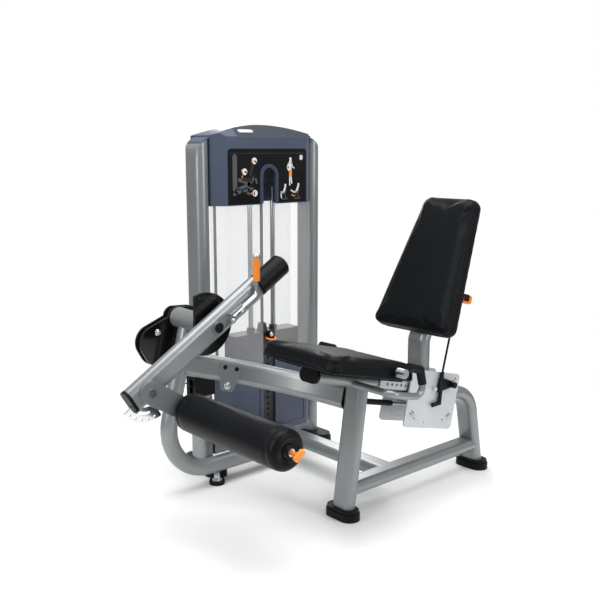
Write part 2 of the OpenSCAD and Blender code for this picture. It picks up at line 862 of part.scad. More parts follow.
module right_pulley() {
  pulley(right_x, stack_y, pulley_z, pulley_r, axle_d);
}

module lower_pulley() {
  pulley(low_x, belt_y, low_z, low_r, axle_d);
}

// Cross bar at the back of the tower with the axles of the two top pulleys
module pulley_bracket() {
  color(steel) {
    for (x = [left_x, right_x]) rod_y(x, pulley_z, stack_y - 22, rear_y - 40, axle_d);
    translate([tower_x - facet_half + 8, rear_y - 40, pulley_z - 40]) cube([2 * facet_half - 16, 30, 80]);
  }
}

// Guard over the lower pulley, in front of the left column, open where the belt comes in
module pulley_guard() {
  color(dark) {
    difference() {
      translate([low_x - 46, belt_y - 30, low_z - 42]) cube([92, 62, 84]);
      translate([low_x - 42, belt_y - 26, low_z - 38]) cube([84, 54, 76]);
      translate([low_x - 50, belt_y - 11, low_z - 36]) cube([20, 22, 62]);
    }
    rod_y(low_x, low_z, belt_y - 26, belt_y + 28, axle_d - 0.3);
  }
}

module belt_run(x0, z0, x1, z1, y) {
  translate([x0, y - belt_w / 2, z0]) rotate([0, -atan2(z1 - z0, x1 - x0), 0])
    translate([0, 0, -belt_t / 2]) cube([norm([x1 - x0, z1 - z0]), belt_w, belt_t]);
}

module belt_turn(x, z, a0) {
  translate([x, stack_y + belt_w / 2, z]) rotate([90, 0, 0]) rotate([0, 0, a0]) linear_extrude(belt_w)
    difference() {
      intersection() {
        circle(r = pulley_r + belt_gap + belt_t, $fn = 96);
        square(100);
      }
      circle(r = pulley_r + belt_gap, $fn = 96);
    }
}

// Belt from the cam to the lower pulley, and from the riser over the top pulleys to the stack
module belt() {
  top = pulley_z + pulley_r + belt_gap + belt_t / 2;
  color([0.12, 0.12, 0.13]) {
    belt_run(tower_x, 400, tower_x, pulley_z, stack_y);
    belt_turn(right_x, pulley_z, 0);
    belt_run(left_x, top, right_x, top, stack_y);
    belt_turn(left_x, pulley_z, 90);
    belt_run(rise_x, 140, rise_x, pulley_z, stack_y);
    belt_run(cam_belt_x, cam_belt_z, low_belt_x, low_belt_z, belt_y);
  }
}

// ---- backrest ----

module side_plate() {
  translate([(side_u0 + side_u1) / 2, (side_w0 + side_w1) / 2])
    round_rect(side_u1 - side_u0, side_w1 - side_w0, 18);
}

module carriage_plates() {
  color([0.75, 0.77, 0.79]) tilted() {
    for (y = [-side_y - side_t, side_y]) difference() {
      slab_y(y, side_t) side_plate();
      for (u = [270, 440]) rod_y(u, -46, y - 1, y + side_t + 1, 9);
      rod_y(330, -60, y - 1, y + side_t + 1, 6);
      rod_y(pin_u, rail_w, y - 1, y + side_t + 1, 10.1);
    }
    translate([post_u - 48, -side_y, 118]) cube([128, 2 * side_y, 14]);
  }
}

module carriage_glides() {
  color(dark) tilted() for (u = [side_u0 + 34, side_u1 - 34]) {
    rod_y(u, rail_w + tube_t / 2 + wheel_d / 2 + 0.3, -side_y, side_y, wheel_d);
    rod_y(u, rail_w - tube_t / 2 - wheel_d / 2 - 0.3, -side_y, side_y, wheel_d);
  }
}

// Gas strut that steadies the backrest: the cylinder hangs from the front leg under the rail
module strut_cylinder() {
  color(dark) tilted() translate([0, 0, strut_w]) difference() {
    along_x(30.9, strut_end - 30.9) circle(d = 22, $fn = 64);
    along_x(strut_end - 164, 165) circle(d = 10.2, $fn = 64);
  }
}

// Its rod ends on a cross bar between the side plates
module strut_rod() {
  color(chrome) tilted() {
    translate([0, 0, strut_w]) along_x(strut_end - 55, strut_bar - strut_end + 55) circle(d = 10, $fn = 64);
    rod_y(strut_bar, strut_w, -side_y, side_y, 14);
  }
}

// Upright tube that leans back behind the pad, with the two plates that the pad bolts to
module backrest_post() {
  color(steel) {
    difference() {
      post_form() oval_ring(tube_t, tube_w);
      tilted() translate([0, -100, 32]) cube([600, 200, 100]);
    }
    leaning() for (z = [60, 210]) difference() {
      translate([-tube_t / 2 - pad_gap, -70, z]) cube([pad_gap + 2, 140, 50]);
      translate([0, 0, z - 1]) linear_extrude(60) oval(tube_t - 2, tube_w - 2);
    }
  }
}

// Upright run, tight bend and leaning run of the backrest tube
module post_form() {
  translate([post_x, 0, 440]) linear_extrude(post_bend_z - 440) children();
  translate([post_x + post_r, 0, post_bend_z]) rotate([90, 0, 0]) rotate([0, 0, 180 - back_lean])
    rotate_extrude(angle = back_lean, $fn = 180) translate([post_r, 0]) children();
  leaning() linear_extrude(300) children();
}

// Frame of the leaning run, with its origin on the tube's centre line
module leaning() {
  translate([post_x + post_r, 0, post_bend_z]) rotate([0, back_lean, 0]) translate([-post_r, 0, 0])
    children();
}

// The pad's back lies on the plates; its front carries the larger rounding
module back_pad() {
  color([0.05, 0.05, 0.06]) leaning()
    translate([-tube_t / 2 - pad_gap, 0, pad_foot]) rotate([0, -90, 0]) hull() {
      linear_extrude(back_h - 16) back_outline(0);
      linear_extrude(back_h) back_outline(15);
    }
}

// Outline of the back pad, narrower toward its top
module back_outline(inset) {
  hull() for (s = [-1, 1]) {
    translate([40, s * (back_w0 / 2 - 40)]) circle(r = 40 - inset, $fn = 32);
    translate([back_l - 36, s * (back_w1 / 2 - 36)]) circle(r = 36 - inset, $fn = 32);
  }
}

// Pin that drops into the index bar
module lock_pin() {
  color(chrome) tilted() {
    rod_y(pin_u, rail_w, -side_y - side_t - 10, -tube_w / 2 - 5.5, 10);
    rod_y(pin_u, rail_w, -side_y - side_t - 14, -side_y - side_t - 7, 16);
  }
}

// Plate on the side of the carriage, with the bar that carries the paddle rod
module release_lever() {
  y = -side_y - side_t - 14;
  color(dark) {
    tilted() {
      rod_y(hub_u, hub_w, y - 20, -side_y - side_t - 0.3, 24);
      slab_y(y, 8) polygon([
        [hub_u - 70, hub_w + 24], [hub_u, hub_w + 13], [hub_u, hub_w - 13], [hub_u - 70, hub_w - 34]
      ]);
    }
    slab_y(y, 8) polygon([[432, 344], [446, 344], [460, 470], [446, 470]]);
    slab_y(y, 8) polygon([[396, 344], [440, 344], [440, 358], [396, 358]]);
    translate([453, y + 4, 468]) rotate([0, 15.5, 0]) cylinder(d = 8, h = 231, $fn = 32);
  }
}

module release_paddle() {
  y = -side_y - side_t - 10;
  color(accent) {
    translate([515, y, 693]) rotate([0, 42, 0]) cylinder(d = 15, h = 46, $fn = 48);
    translate([560, y, 740]) rotate([0, 14, 0]) translate([0, 26, 0]) rotate([90, 0, 0])
      linear_extrude(52) round_rect(52, 34, 14);
  }
}

front_leg();
rubber_feet();
base_rail();
cross_tube();
rear_leg();
main_beam();
seat_rail();
rail_cap();
index_bars();
seat_pan();
seat_pad();
grip_tubes();
hand_grips();
seat_buttons();
stop_bracket();
j_tube();
bearing_housing();
pivot_bearings();
pivot_shaft();
cam();
range_plate();
arm_tube();
arm_end_cap();
counterweight();
lever_bracket();
range_lever();
lever_grip();
range_pin();
adjuster_sector();
link_pin();
shin_link();
roller_axle();
roller_pad();
roller_core();
shin_knob();
tower_frame();
column_caps();
tower_cap();
placard();
shrouds();
lower_panel();
guide_rods();
weight_plates();
top_weight();
selector_pin();
left_pulley();
right_pulley();
lower_pulley();
pulley_bracket();
pulley_guard();
belt();
carriage_plates();
carriage_glides();
strut_cylinder();
strut_rod();
backrest_post();
back_pad();
release_lever();
release_paddle();
lock_pin();
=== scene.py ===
import math

import bmesh
import bpy
from mathutils import Matrix, Vector
from mathutils.bvhtree import BVHTree


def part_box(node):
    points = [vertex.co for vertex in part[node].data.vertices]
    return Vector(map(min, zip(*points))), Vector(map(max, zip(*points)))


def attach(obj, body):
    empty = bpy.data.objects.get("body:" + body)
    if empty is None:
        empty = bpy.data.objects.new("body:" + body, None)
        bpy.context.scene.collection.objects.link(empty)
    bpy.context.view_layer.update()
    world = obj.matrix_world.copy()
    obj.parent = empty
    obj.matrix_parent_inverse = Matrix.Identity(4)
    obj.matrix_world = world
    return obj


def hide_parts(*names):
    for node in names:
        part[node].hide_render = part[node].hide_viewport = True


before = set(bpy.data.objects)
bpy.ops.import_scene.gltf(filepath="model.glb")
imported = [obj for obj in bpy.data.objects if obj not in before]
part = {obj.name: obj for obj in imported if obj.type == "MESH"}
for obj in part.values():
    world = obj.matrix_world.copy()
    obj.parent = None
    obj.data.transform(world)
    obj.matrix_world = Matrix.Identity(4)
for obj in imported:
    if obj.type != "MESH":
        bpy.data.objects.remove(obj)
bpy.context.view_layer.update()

# ---- Room ----
# The machine stands on a plain pale floor in a light studio. Large soft boxes hang left, right and above,
# because satin tubes show their shape by long soft highlights.
camera = bpy.data.objects.new("camera", bpy.data.cameras.new("camera"))
camera.data.lens = 50.7
camera.data.sensor_width = 36
camera.location = (-2.0164, -2.0386, 1.3066)
camera.rotation_euler = (math.pi / 2 - 0.1777, 0, -0.7261)
bpy.context.scene.collection.objects.link(camera)
bpy.context.scene.camera = camera
bpy.context.scene.view_settings.view_transform = "Standard"


def soft_box(name, place, aim, width, height, power):
    light = bpy.data.lights.new(name, "AREA")
    light.shape, light.size, light.size_y, light.energy = "RECTANGLE", width, height, power
    lamp = bpy.data.objects.new(name, light)
    lamp.location = place
    lamp.rotation_euler = (Vector(aim) - Vector(place)).to_track_quat("-Z", "Y").to_euler()
    bpy.context.scene.collection.objects.link(lamp)


soft_box("left_box", (-3.0, 0.2, 2.0), (0, 0.2, 0.6), 0.7, 2.6, 42)
soft_box("front_box", (0.9, -3.0, 1.9), (0.1, 0.2, 0.5), 0.8, 2.4, 40)
soft_box("top_box", (0.0, 0.1, 3.2), (0.1, 0.2, 0.5), 2.6, 2.0, 75)
soft_box("back_box", (2.2, 2.8, 2.2), (0.1, 0.2, 0.5), 1.4, 2.2, 40)


def node(tree, kind, inputs={}, **settings):
    made = tree.nodes.new("ShaderNode" + kind)
    for name, value in settings.items():
        setattr(made, name, value)
    for name, value in inputs.items():
        if isinstance(value, bpy.types.NodeSocket):
            tree.links.new(value, made.inputs[name])
        else:
            made.inputs[name].default_value = value
    return made


def mixed(tree, factor, low, high):
    mix = node(tree, "Mix", {0: factor, 6: low, 7: high}, data_type="RGBA")
    return mix.outputs[2]


def rgb(*colour):
    return (*colour, 1.0)


# The walls are white to look at, but throw less light than they show, so that black stays black.
world = bpy.data.worlds.new("studio")
world.use_nodes = True
air = world.node_tree
sky = node(air, "SeparateXYZ", {"Vector": node(air, "TexCoord").outputs["Generated"]}).outputs["Z"]
lift = node(air, "MapRange", {"Value": sky, "From Min": -0.2, "From Max": 0.9, "To Min": 0.30, "To Max": 0.62})
seen = node(air, "LightPath").outputs["Is Camera Ray"]
glow = node(air, "Mix", {0: seen, 2: lift.outputs[0], 3: 1.0}, data_type="FLOAT").outputs[0]
air.links.new(glow, air.nodes["Background"].inputs["Strength"])
air.nodes["Background"].inputs["Color"].default_value = rgb(1.0, 1.0, 1.0)
bpy.context.scene.world = world

floor_mesh = bpy.data.meshes.new("floor")
shape = bmesh.new()
bmesh.ops.create_grid(shape, x_segments=1, y_segments=1, size=12, matrix=Matrix.Translation((0, 0, -0.0005)))
shape.to_mesh(floor_mesh)
shape.free()
floor = bpy.data.objects.new("floor", floor_mesh)
bpy.context.scene.collection.objects.link(floor)
floor_skin = bpy.data.materials.new("floor_paint")
floor_skin.use_nodes = True
floor_skin.node_tree.nodes["Principled BSDF"].inputs["Base Color"].default_value = rgb(0.93, 0.93, 0.93)
floor_skin.node_tree.nodes["Principled BSDF"].inputs["Roughness"].default_value = 0.8
spread = floor_skin.node_tree
reach = node(spread, "VectorMath", {0: node(spread, "TexCoord").outputs["Object"]}, operation="LENGTH")
fade = node(spread, "MapRange", {"Value": reach.outputs["Value"], "From Min": 1.1, "From Max": 2.6, "To Min": 1.0,
                                 "To Max": 0.0}, interpolation_type="SMOOTHSTEP")
spread.links.new(fade.outputs[0], spread.nodes["Principled BSDF"].inputs["Alpha"])
floor.data.materials.append(floor_skin)

# ---- Painted steel frame ----
# Flat oval and round steel tubes, welded, then coated with silver-grey metallic powder. The powder cures to
# a satin skin with a faint orange peel and fine flakes.
grain = bpy.data.node_groups.new("surface_grain", "ShaderNodeTree")
for name, value in (("Broad", 6.0), ("Fine", 400.0)):
    grain.interface.new_socket(name, in_out="INPUT", socket_type="NodeSocketFloat").default_value = value
for name in ("Cloud", "Speck"):
    grain.interface.new_socket(name, in_out="OUTPUT", socket_type="NodeSocketFloat")
entry = grain.nodes.new("NodeGroupInput")
leave = grain.nodes.new("NodeGroupOutput")
where = node(grain, "TexCoord").outputs["Object"]
cloud = node(grain, "TexNoise", {"Vector": where, "Scale": entry.outputs["Broad"], "Detail": 5.0, "Roughness": 0.55})
speck = node(grain, "TexNoise", {"Vector": where, "Scale": entry.outputs["Fine"], "Detail": 3.0, "Roughness": 0.6})
grain.links.new(cloud.outputs["Fac"], leave.inputs["Cloud"])
grain.links.new(speck.outputs["Fac"], leave.inputs["Speck"])


def finish(name, low, high, rough, spread, broad=6.0, fine=400.0, bump=0.1, metal=0.0, coat=0.0, shine=0.5):
    """A finish that drifts from colour low to colour high, with a skin as fine as fine and as deep as bump."""
    skin = bpy.data.materials.new(name)
    skin.use_nodes = True
    tree = skin.node_tree
    shader = tree.nodes["Principled BSDF"]
    live = node(tree, "Group", node_tree=grain)
    live.inputs["Broad"].default_value = broad
    live.inputs["Fine"].default_value = fine
    blend = node(tree, "MapRange", {"Value": live.outputs["Cloud"], "From Min": 0.3, "From Max": 0.7})
    colour = mixed(tree, blend.outputs[0], rgb(*low), rgb(*high))
    tree.links.new(colour, shader.inputs["Base Color"])
    dull = node(tree, "MapRange", {"Value": live.outputs["Speck"], "From Min": 0.3, "From Max": 0.7,
                                   "To Min": rough - spread, "To Max": rough + spread})
    tree.links.new(dull.outputs[0], shader.inputs["Roughness"])
    relief = node(tree, "Bump", {"Height": live.outputs["Speck"], "Strength": bump, "Distance": 0.0006})
    tree.links.new(relief.outputs[0], shader.inputs["Normal"])
    shader.inputs["Metallic"].default_value = metal
    shader.inputs["Coat Weight"].default_value = coat
    shader.inputs["Coat Roughness"].default_value = 0.15
    shader.inputs["Specular IOR Level"].default_value = shine
    return skin


def dress(skin, *names):
    """Gives CAD nodes their finish."""
    for name in names:
        for spot in part[name].material_slots:
            spot.material = skin


frame_paint = finish("frame_paint", (0.235, 0.252, 0.256), (0.272, 0.290, 0.295), 0.34, 0.05, 4, 900, 0.12, 0.5, 0.2)
dress(frame_paint, "front_leg", "base_rail", "cross_tube", "rear_leg", "main_beam", "seat_rail", "j_tube",
      "bearing_housing", "arm_tube", "shin_link", "tower_frame", "pulley_bracket",
      "backrest_post", "grip_tubes")

# ---- Bare metal parts ----
# Turned and plated parts: shafts, pins, rods and the clevis are bright chrome or zinc; the plates of the
# carriage wear a pale silver powder coat.
chrome = finish("chrome", (0.62, 0.64, 0.66), (0.72, 0.74, 0.76), 0.14, 0.05, 9, 700, 0.03, 1.0)
steel = finish("bright_steel", (0.48, 0.50, 0.52), (0.58, 0.60, 0.62), 0.26, 0.07, 9, 600, 0.05, 1.0)
silver = finish("silver_plate", (0.52, 0.55, 0.57), (0.60, 0.63, 0.65), 0.42, 0.06, 5, 1100, 0.15, 0.3, 0.1)
dress(chrome, "lever_bracket", "range_lever", "range_pin", "guide_rods", "strut_rod", "lock_pin")
dress(steel, "pivot_bearings", "pivot_shaft", "link_pin", "roller_axle", "index_bars", "seat_buttons")
dress(silver, "carriage_plates")

# ---- Black moulded parts ----
# Caps, covers and pulleys are injection moulded with a fine spark-eroded texture; the feet and the grips
# are rubber. The cam and the start-position plate are gloss enamel.
moulded = finish("black_plastic", (0.004, 0.0045, 0.005), (0.008, 0.0085, 0.009), 0.40, 0.06, 12, 1500, 0.2,
                 0.0, 0.0, 0.12)
enamel = finish("gloss_black", (0.003, 0.003, 0.004), (0.006, 0.006, 0.007), 0.14, 0.03, 8, 500, 0.03, 0.0, 0.0, 0.4)
rubber = finish("rubber", (0.004, 0.004, 0.005), (0.010, 0.010, 0.011), 0.50, 0.08, 14, 900, 0.25, 0.0, 0.0, 0.14)
dress(moulded, "rail_cap", "seat_pan", "arm_end_cap", "counterweight", "roller_core", "left_pulley",
      "right_pulley", "lower_pulley", "pulley_guard", "carriage_glides", "strut_cylinder", "release_lever")
dress(enamel, "cam", "range_plate")
dress(rubber, "rubber_feet", "hand_grips")

# ---- Orange touch points ----
# Everything the user grips or pulls is moulded in one orange plastic, so that it is found at a glance.
signal = finish("orange", (0.84, 0.20, 0.008), (0.93, 0.27, 0.015), 0.34, 0.05, 20, 900, 0.1, 0.0, 0.3)
dress(signal, "lever_grip", "release_paddle")

# ---- Weight stack and belt ----
# Cast plates painted dark grey, and a woven belt in black polyurethane.
cast = finish("cast_plate", (0.030, 0.031, 0.033), (0.055, 0.056, 0.060), 0.48, 0.08, 16, 500, 0.35, 0.3)
strap = finish("belt", (0.006, 0.006, 0.007), (0.012, 0.012, 0.013), 0.45, 0.08, 30, 1400, 0.4, 0.0, 0.0, 0.3)
dress(cast, "weight_plates", "top_weight")
dress(strap, "belt")

# ---- Tower covers ----
# The cap and the lower panel are vacuum-formed in slate blue; the shrouds are frosted clear sheet, and the
# panel for the instructions is gloss black.
slate = finish("cap_plastic", (0.050, 0.066, 0.105), (0.062, 0.080, 0.124), 0.36, 0.04, 4, 1200, 0.12, 0.0, 0.15)
slate_low = finish("slate_paint", (0.056, 0.070, 0.115), (0.066, 0.082, 0.132), 0.38, 0.04, 4, 1200, 0.12)
dress(slate_low, "lower_panel")
frosted = finish("clear", (0.86, 0.87, 0.90), (0.90, 0.91, 0.93), 0.30, 0.04, 3, 800, 0.05)
frosted.node_tree.nodes["Principled BSDF"].inputs["Alpha"].default_value = 0.13
dress(frosted, "shrouds")
panel = finish("placard", (0.005, 0.005, 0.006), (0.009, 0.009, 0.010), 0.25, 0.03, 6, 600, 0.03, 0.0, 0.0, 0.18)
dress(panel, "placard")

# ---- Seat pad ----
# High-density foam on a board, covered in black vinyl that is pulled tight and stapled underneath. The cover
# has a boxing strip round its side, sewn to the top with a piped seam.
vinyl = finish("upholstery", (0.0035, 0.004, 0.005), (0.006, 0.0068, 0.008), 0.40, 0.06, 5, 900, 0.3, 0.0, 0.0, 0.10)
pebble = vinyl.node_tree
cells = node(pebble, "TexVoronoi", {"Vector": node(pebble, "TexCoord").outputs["Object"], "Scale": 520.0})
skin_bump = next(n for n in pebble.nodes if n.bl_idname == "ShaderNodeBump")
leather = node(pebble, "Bump", {"Height": cells.outputs["Distance"], "Strength": 0.25, "Distance": 0.0008,
                                "Normal": skin_bump.outputs[0]})
pebble.links.new(leather.outputs[0], pebble.nodes["Principled BSDF"].inputs["Normal"])
seat_frame = Matrix.Translation((0.056, 0, 0.4265)) @ Matrix.Rotation(math.radians(14), 4, "Y")


def piece(name, shape, skin, body, smooth=True):
    """Turns a bmesh into a finished piece that rides on a body."""
    mesh = bpy.data.meshes.new(name)
    shape.to_mesh(mesh)
    shape.free()
    made = bpy.data.objects.new(name, mesh)
    bpy.context.scene.collection.objects.link(made)
    mesh.polygons.foreach_set("use_smooth", [smooth] * len(mesh.polygons))
    mesh.materials.append(skin)
    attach(made, body)
    return made


def fixed(made):
    """Applies the modifiers of a piece to its mesh."""
    graph = bpy.context.evaluated_depsgraph_get()
    mesh = bpy.data.meshes.new_from_object(made.evaluated_get(graph))
    made.modifiers.clear()
    made.data = mesh


def pad_blank(length, foot, top, depth, corner, edge):
    """Foam block with rounded corners, from x = 0 to length, lying on z = 0."""
    shape = bmesh.new()
    bmesh.ops.create_cube(shape, size=1)
    bmesh.ops.scale(shape, vec=(length, foot, depth), verts=shape.verts)
    bmesh.ops.translate(shape, vec=(length / 2, 0, depth / 2), verts=shape.verts)
    far = [v for v in shape.verts if v.co.x > length / 2]
    bmesh.ops.scale(shape, vec=(1, top / foot, 1), verts=far)
    upright = [e for e in shape.edges if abs(e.verts[0].co.z - e.verts[1].co.z) > depth / 2]
    bmesh.ops.bevel(shape, geom=upright, offset=corner, segments=8, profile=0.5, affect="EDGES", material=-1)
    for level, size, steps in ((depth, edge, 5), (0, 0.006, 2)):
        rim = [e for e in shape.edges if all(abs(v.co.z - level) < 1e-5 for v in e.verts)]
        bmesh.ops.bevel(shape, geom=rim, offset=size, segments=steps, profile=0.5, affect="EDGES", material=-1)
    return shape


def stuff(made, cap, board):
    """Blows a foam block up inside its cover; what lies on the board below stays flat."""
    voxels = made.modifiers.new("voxels", "REMESH")
    voxels.mode, voxels.voxel_size = "VOXEL", 0.006
    fixed(made)
    shape = bmesh.new()
    shape.from_mesh(made.data)
    for _ in range(4):
        bmesh.ops.smooth_vert(shape, verts=shape.verts, factor=0.5, use_axis_x=True, use_axis_y=True, use_axis_z=True)
    shape.to_mesh(made.data)
    shape.free()
    rest = [v.co.copy() for v in made.data.vertices]
    held = made.vertex_groups.new(name="board")
    held.add([i for i, co in enumerate(rest) if co.z < board], 1.0, "REPLACE")
    cover = made.modifiers.new("cover", "CLOTH")
    cover.settings.quality = 5
    cover.settings.use_pressure = True
    cover.settings.uniform_pressure_force = 4.0
    cover.settings.effector_weights.gravity = 0.0
    cover.settings.vertex_group_mass = "board"
    for step in range(1, 21):
        bpy.context.scene.frame_set(step)
    graph = bpy.context.evaluated_depsgraph_get()
    blown = [v.co.copy() for v in made.evaluated_get(graph).data.vertices]
    made.modifiers.clear()
    bpy.context.scene.frame_set(1)
    for vertex, start, end in zip(made.data.vertices, rest, blown):
        move = end - start
        vertex.co = start + move * min(1.0, cap / max(move.length, 1e-9))
    finer = made.modifiers.new("finer", "SUBSURF")
    finer.levels = finer.render_levels = 1
    fixed(made)
    made.data.polygons.foreach_set("use_smooth", [True] * len(made.data.polygons))


def seam_path(made, centre, height, count=220):
    """Points round the side of a pad at one height, found from its middle outward."""
    shape = bmesh.new()
    shape.from_mesh(made.data)
    tree = BVHTree.FromBMesh(shape)
    shape.free()
    points = []
    for i in range(count):
        a = 2 * math.pi * i / count
        hit = tree.ray_cast(Vector((centre + 2 * math.cos(a), 2 * math.sin(a), height)),
                            Vector((-math.cos(a), -math.sin(a), 0)))[0]
        if hit:
            points.append(hit)
    return points


def pinch(made, height, deep, wide):
    """Draws the cover in along the seam that runs round the side at one height."""
    for vertex, normal in zip(made.data.vertices, made.data.vertex_normals):
        side = math.hypot(normal.vector.x, normal.vector.y)
        vertex.co -= normal.vector * (deep * side * math.exp(-((vertex.co.z - height) / wide) ** 2))


def piping(name, points, radius, skin, body, place):
    """Cord sewn into a seam, made as a closed round sweep."""
    line = bpy.data.curves.new(name, "CURVE")
    line.dimensions, line.bevel_depth, line.bevel_resolution = "3D", radius, 2
    spline = line.splines.new("POLY")
    spline.points.add(len(points) - 1)
    for spot, co in zip(spline.points, points):
        spot.co = (*co, 1)
    spline.use_cyclic_u = True
    drawn = bpy.data.objects.new(name + "_line", line)
    bpy.context.scene.collection.objects.link(drawn)
    shape = bmesh.new()
    shape.from_mesh(bpy.data.meshes.new_from_object(drawn))
    bpy.data.objects.remove(drawn)
    bmesh.ops.transform(shape, matrix=place, verts=shape.verts)
    return piece(name, shape, skin, body)


seat_place = seat_frame @ Matrix.Translation((-0.333 + 0.006, 0, 0.104))
seat = piece("seat_cushion", pad_blank(0.424, 0.378, 0.378, 0.054, 0.044, 0.016), vinyl, "frame")
stuff(seat, 0.007, 0.004)
pinch(seat, 0.034, 0.0022, 0.004)
seat_seam = seam_path(seat, 0.212, 0.034)
seat.data.transform(seat_place)
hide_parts("seat_pad")
piping("seat_piping", seat_seam, 0.0016, vinyl, "frame", seat_place)

# ---- Back pad ----
# Made as the seat pad is, but tapered: wide at the hips and narrow at the shoulders. It is bolted through
# its board to the two plates on the post.
lean = Matrix.Translation((0.423, 0, 0.5885)) @ Matrix.Rotation(math.radians(25), 4, "Y")
lean = lean @ Matrix.Translation((-0.026, 0, 0))
back_place = lean @ Matrix.Translation((-0.033, 0, 0.004 + 0.006)) @ Matrix.Rotation(-math.pi / 2, 4, "Y")
back = piece("back_cushion", pad_blank(0.538, 0.388, 0.250, 0.054, 0.038, 0.018), vinyl, "backrest")
stuff(back, 0.007, 0.004)
pinch(back, 0.034, 0.0022, 0.004)
back_seam = seam_path(back, 0.27, 0.034)
back.data.transform(back_place)
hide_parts("back_pad")
piping("back_piping", back_seam, 0.0016, vinyl, "backrest", back_place)

# ---- Shin roller ----
# A moulded foam sleeve with a vinyl skin on a core tube. The ends are dished round the hub and a welded seam
# runs round each shoulder.
def turned(shape, outline, place, steps=48):
    """Adds a turned form to a bmesh: outline is (radius, height) from foot to top, height along Z of place."""
    corners = [shape.verts.new((r, 0, h)) for r, h in outline]
    lines = [shape.edges.new(pair) for pair in zip(corners, corners[1:])]
    bmesh.ops.spin(shape, geom=corners + lines, cent=(0, 0, 0), axis=(0, 0, 1), angle=2 * math.pi,
                   steps=steps, use_merge=True)
    verts = list({v for v in shape.verts if v not in turned.done})
    bmesh.ops.remove_doubles(shape, verts=verts, dist=1e-6)
    verts = [v for v in shape.verts if v not in turned.done]
    bmesh.ops.transform(shape, matrix=place, verts=verts)
    bmesh.ops.recalc_face_normals(shape, faces=list({f for v in verts for f in v.link_faces}))
    turned.done.update(verts)
    return verts


turned.done = set()
roller_lo, roller_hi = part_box("roller_pad")
roller_long = roller_hi.y - roller_lo.y
roller_x, roller_z = -0.430, 0.406
roller_axis = Matrix.Translation((roller_x, roller_lo.y, roller_z)) @ Matrix.Rotation(-math.pi / 2, 4, "X")
end = [(0.0235, 0.006), (0.031, 0.004), (0.036, 0.0045), (0.038, 0.001), (0.046, 0.0), (0.053, 0.0015),
       (0.0605, 0.006), (0.0655, 0.014), (0.0672, 0.025), (0.0674, 0.0345), (0.0664, 0.0365), (0.0664, 0.0375),
       (0.0674, 0.0395), (0.0677, 0.060)]
sleeve = end + [(0.068, roller_long / 2)] + [(r, roller_long - h) for r, h in reversed(end)] + [(0.0235, 0.006)]
shape = bmesh.new()
turned(shape, sleeve, roller_axis, 96)
foam = finish("roller_foam", (0.0035, 0.004, 0.005), (0.006, 0.0068, 0.008), 0.38, 0.05, 6, 700, 0.25, 0.0, 0.0, 0.12)
roller = piece("shin_roller", shape, foam, "roller")
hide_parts("roller_pad")

# ---- Tower cap and column caps ----
# The formed cap closes over the two columns with a thin lip; each column ends in a cast silver shoulder that
# rounds down outward under that lip.
def corners_of(geom):
    """The vertices among what an operator gives back."""
    return [g for g in geom if isinstance(g, bmesh.types.BMVert)]


def slab(shape, outline, y0, y1):
    """Closed plate between two depths from an outline in x and z."""
    face = shape.faces.new([shape.verts.new((x, y0, z)) for x, z in outline])
    grown = bmesh.ops.extrude_face_region(shape, geom=[face])["geom"]
    bmesh.ops.translate(shape, vec=(0, y1 - y0, 0), verts=corners_of(grown))
    bmesh.ops.recalc_face_normals(shape, faces=shape.faces)


def carved(made, cutter_shape):
    """Cuts a shape out of a finished piece."""
    mesh = bpy.data.meshes.new("cutter")
    cutter_shape.to_mesh(mesh)
    cutter_shape.free()
    tool = bpy.data.objects.new("cutter", mesh)
    bpy.context.scene.collection.objects.link(tool)
    cut = made.modifiers.new("cut", "BOOLEAN")
    cut.object, cut.operation, cut.solver = tool, "DIFFERENCE", "EXACT"
    fixed(made)
    bpy.data.objects.remove(tool)


tower_x, tower_y = 0.184, 0.717  # middle of the columns
shoulder_z, shoulder_r, lip_r, outer = 1.275, 0.070, 0.078, 0.321
lip_x = 0.2615  # half width of the cap without its ears
gap_r = 0.0006  # air between the cap and a shoulder
shape = bmesh.new()
shape.from_mesh(part["tower_cap"].data)
bmesh.ops.remove_doubles(shape, verts=shape.verts, dist=1e-5)
cap = piece("tower_cover", shape, slate, "frame", smooth=False)
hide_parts("tower_cap")
arc = [math.radians(a) for a in range(0, 85, 4)]
for side in (-1, 1):
    above = [(lip_x, 1.43), (0.36, 1.43), (0.36, shoulder_z)]
    above += [(outer - lip_r + lip_r * math.cos(a), shoulder_z + lip_r * math.sin(a)) for a in arc]
    above = [c for c in above if c[0] >= lip_x]
    below = [(lip_x, 1.18), (0.36, 1.18), (0.36, shoulder_z)]
    below += [(outer - shoulder_r + (shoulder_r + gap_r) * math.cos(a), shoulder_z + (shoulder_r + gap_r) * math.sin(a))
              for a in arc]
    below = [c for c in below if c[0] >= lip_x]
    for outline in (above, below):
        shape = bmesh.new()
        slab(shape, [(tower_x + side * x, z) for x, z in outline], 0.60, 0.85)
        carved(cap, shape)

